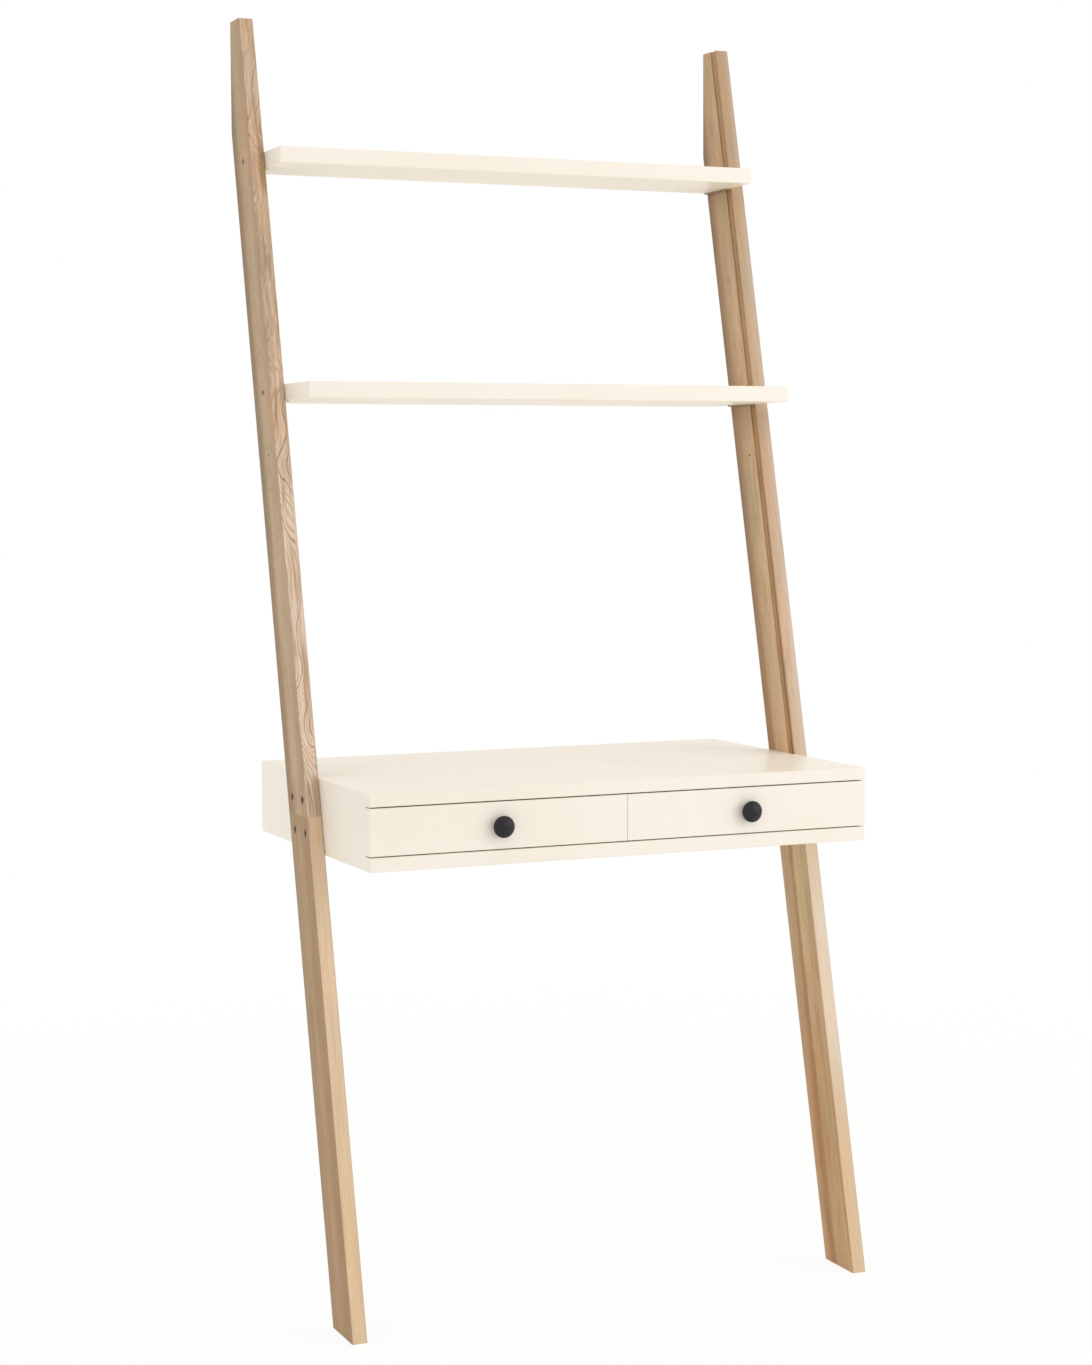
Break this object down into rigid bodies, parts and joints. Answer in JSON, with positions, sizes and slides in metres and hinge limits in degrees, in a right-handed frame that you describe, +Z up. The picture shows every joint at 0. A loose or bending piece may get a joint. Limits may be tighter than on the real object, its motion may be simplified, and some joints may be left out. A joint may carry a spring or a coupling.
{
  "type": "ladder desk",
  "caption": "Leaning ladder desk: spliced ash rails, lacquered shelves and a shallow desk with drawers on roller slides.",
  "frame": {"origin": "on the floor, under the middle of the overall box", "axes": "+Z up, +Y towards the wall it leans on, +X to the right of a person seated at the desk"},
  "size_m": [0.809, 0.536, 1.86],
  "materials": {
    "cream_lacquer": "satin ivory lacquer on engineered board",
    "ash_rail": "matt oiled ash with open cathedral grain",
    "ash_leg": "matt oiled ash, straighter grain",
    "drawer_birch": "clear-coated birch",
    "beech_tongue": "plain beech",
    "black_knob": "satin black",
    "bronzed_steel": "dark bronzed steel",
    "bright_steel": "zinc plated",
    "coated_steel": "white epoxy-coated strip",
    "nylon_roller": "moulded nylon"
  },
  "bodies": {
    "root": {"right_upper_rail": "ash_rail", "left_upper_rail": "ash_rail", "right_lower_leg": "ash_leg", "left_lower_leg": "ash_leg", "splice_tongues": "beech_tongue", "desk_bolts": "bronzed_steel", "top_shelf": "cream_lacquer", "middle_shelf": "cream_lacquer", "shelf_brackets": "bronzed_steel", "shelf_screws": "bronzed_steel", "desk_top_panel": "cream_lacquer", "desk_bottom_panel": "cream_lacquer", "desk_right_side": "cream_lacquer", "desk_left_side": "cream_lacquer", "desk_divider": "cream_lacquer", "desk_back_panel": "cream_lacquer", "right_inner_fixed_channel": "coated_steel", "right_outer_fixed_channel": "coated_steel", "left_inner_fixed_channel": "coated_steel", "left_outer_fixed_channel": "coated_steel"},
    "right_drawer": {"right_drawer_front": "cream_lacquer", "right_drawer_inner_side": "drawer_birch", "right_drawer_outer_side": "drawer_birch", "right_drawer_back": "drawer_birch", "right_drawer_bottom": "drawer_birch", "right_knob": "black_knob", "right_knob_screw": "bright_steel", "right_inner_drawer_channel": "coated_steel", "right_outer_drawer_channel": "coated_steel"},
    "right_front_rollers": {"right_front_rollers": "nylon_roller"},
    "right_rear_rollers": {"right_rear_rollers": "nylon_roller"},
    "left_drawer": {"left_drawer_front": "cream_lacquer", "left_drawer_inner_side": "drawer_birch", "left_drawer_outer_side": "drawer_birch", "left_drawer_back": "drawer_birch", "left_drawer_bottom": "drawer_birch", "left_knob": "black_knob", "left_knob_screw": "bright_steel", "left_inner_drawer_channel": "coated_steel", "left_outer_drawer_channel": "coated_steel"},
    "left_front_rollers": {"left_front_rollers": "nylon_roller"},
    "left_rear_rollers": {"left_rear_rollers": "nylon_roller"}
  },
  "joints": [
    {"name": "right_drawer_slide", "type": "slide", "parent": "root", "child": "right_drawer", "axis": [0, -1, 0], "range_m": [0, 0.3]},
    {"name": "right_front_roller_spin", "type": "hinge", "parent": "root", "child": "right_front_rollers", "pos_m": [0.18675, -0.218, 0.69895], "axis": [1, 0, 0], "continuous": true},
    {"name": "right_rear_roller_spin", "type": "hinge", "parent": "right_drawer", "child": "right_rear_rollers", "pos_m": [0.18675, 0.158, 0.69825], "axis": [1, 0, 0], "continuous": true},
    {"name": "left_drawer_slide", "type": "slide", "parent": "root", "child": "left_drawer", "axis": [0, -1, 0], "range_m": [0, 0.3]},
    {"name": "left_front_roller_spin", "type": "hinge", "parent": "root", "child": "left_front_rollers", "pos_m": [-0.18675, -0.218, 0.69895], "axis": [1, 0, 0], "continuous": true},
    {"name": "left_rear_roller_spin", "type": "hinge", "parent": "left_drawer", "child": "left_rear_rollers", "pos_m": [-0.18675, 0.158, 0.69825], "axis": [1, 0, 0], "continuous": true}
  ],
  "couplings": [
    {"joint": "right_front_roller_spin", "follows": "right_drawer_slide", "rad_per_m": 111.11},
    {"joint": "right_rear_roller_spin", "follows": "right_drawer_slide", "rad_per_m": 111.11},
    {"joint": "left_front_roller_spin", "follows": "left_drawer_slide", "rad_per_m": 111.11},
    {"joint": "left_rear_roller_spin", "follows": "left_drawer_slide", "rad_per_m": 111.11}
  ]
}
